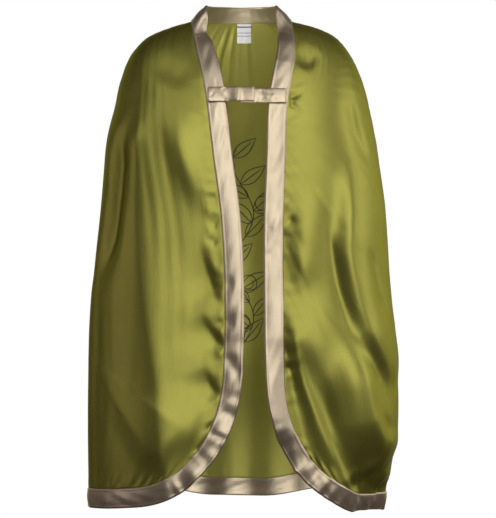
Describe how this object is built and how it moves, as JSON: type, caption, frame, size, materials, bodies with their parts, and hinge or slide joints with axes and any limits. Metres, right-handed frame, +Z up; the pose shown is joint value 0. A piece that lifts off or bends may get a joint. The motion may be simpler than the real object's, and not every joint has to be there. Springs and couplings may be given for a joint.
{
  "type": "cape",
  "caption": "Child's hip-to-knee satin dress-up cape with a contrast band round neck, fronts and hem, rounded front corners and a chest tab closure.",
  "frame": {"origin": "middle of the neck hole, level with the points where the shoulders meet the neck band", "axes": "+Z up, the front of the cape faces -Y, the wearer's left shoulder is at +X"},
  "size_m": [0.4219, 0.3284, 0.7023],
  "materials": {
    "green_satin": "olive green polyester satin, soft sheen",
    "gold_satin": "champagne gold polyester satin, soft sheen",
    "label_tape": "white woven label tape, matt"
  },
  "bodies": {
    "root": {"cape_body": "green_satin", "neck_band": "gold_satin", "front_band_left": "gold_satin", "front_band_right": "gold_satin", "hem_band": "gold_satin", "closure_tab_left": "gold_satin", "closure_tab_right": "gold_satin", "neck_label": "label_tape"}
  },
  "joints": []
}
